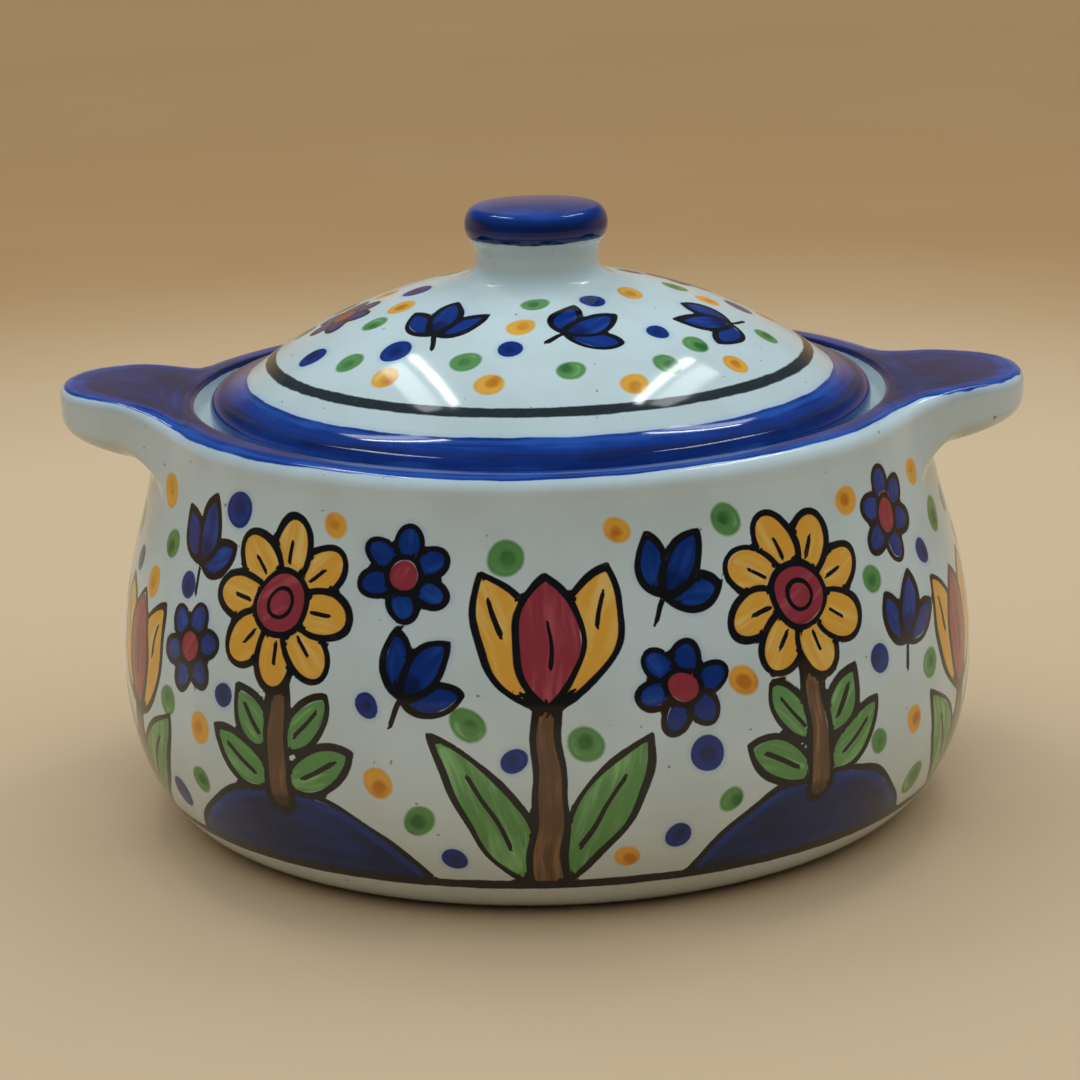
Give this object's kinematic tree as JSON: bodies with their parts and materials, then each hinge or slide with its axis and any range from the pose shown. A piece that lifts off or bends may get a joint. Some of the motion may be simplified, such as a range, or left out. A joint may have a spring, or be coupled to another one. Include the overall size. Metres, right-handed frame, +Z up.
{
  "type": "lidded casserole dish",
  "caption": "Round-bellied glazed ceramic casserole with flat lug handles at its rim and a domed lid with a disc knob, for baking and serving.",
  "frame": {"origin": "middle of the foot ring, on the surface that the pot stands on", "axes": "+Z up along the axis of the pot and lid, +X through the right handle, +Y to the back"},
  "size_m": [0.225, 0.2, 0.1413],
  "materials": {
    "white_glaze": "gloss",
    "blue_glaze": "gloss"
  },
  "bodies": {
    "pot": {"bowl": "white_glaze", "left_handle": "blue_glaze", "right_handle": "blue_glaze"},
    "cover": {"lid": "white_glaze", "knob": "blue_glaze"}
  },
  "joints": [
    {"name": "lid_lift", "type": "slide", "parent": "pot", "child": "cover", "axis": [0, 0, 1], "range_m": [0, 0.12]}
  ]
}
